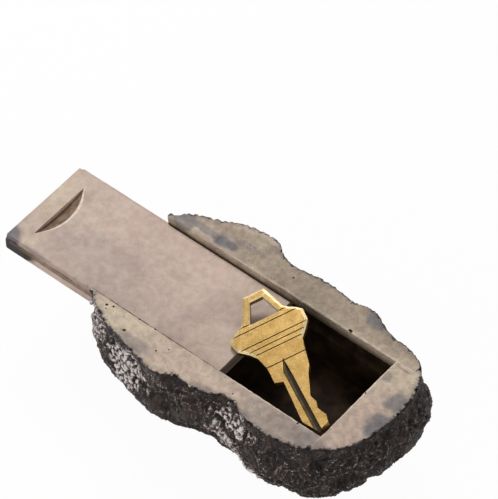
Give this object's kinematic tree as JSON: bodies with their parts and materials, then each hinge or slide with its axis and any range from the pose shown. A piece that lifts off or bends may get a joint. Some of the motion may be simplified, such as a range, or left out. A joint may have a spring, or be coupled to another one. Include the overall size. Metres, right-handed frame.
{
  "type": "hide a key rock",
  "caption": "Imitation rock with a hidden key compartment in its flat base, closed by a sliding cover, with a house key.",
  "frame": {"origin": "on the plane of the rock's flat base, on the middle line of the cover's channel, half way along the base", "axes": "+Z out of the flat base, which faces up because the rock lies on its crown; +X along the channel to its closed end"},
  "size_m": [0.1453, 0.0658, 0.0498],
  "materials": {
    "rock_cast": "cast polyresin, dark stone colour with pale dry brushing",
    "cover_cast": "cast polyresin, bare pinkish tan",
    "key_brass": "worn satin"
  },
  "bodies": {
    "rock": {"rock_body": "rock_cast"},
    "cover": {"slide_cover": "cover_cast"},
    "key": {"key": "key_brass"}
  },
  "joints": [
    {"name": "cover_slide", "type": "slide", "parent": "rock", "child": "cover", "axis": [-1, 0, 0], "range_m": [-0.0405, 0.056]},
    {"name": "key_lift", "type": "slide", "parent": "rock", "child": "key", "axis": [0, 0, 1], "range_m": [0, 0.06]}
  ]
}
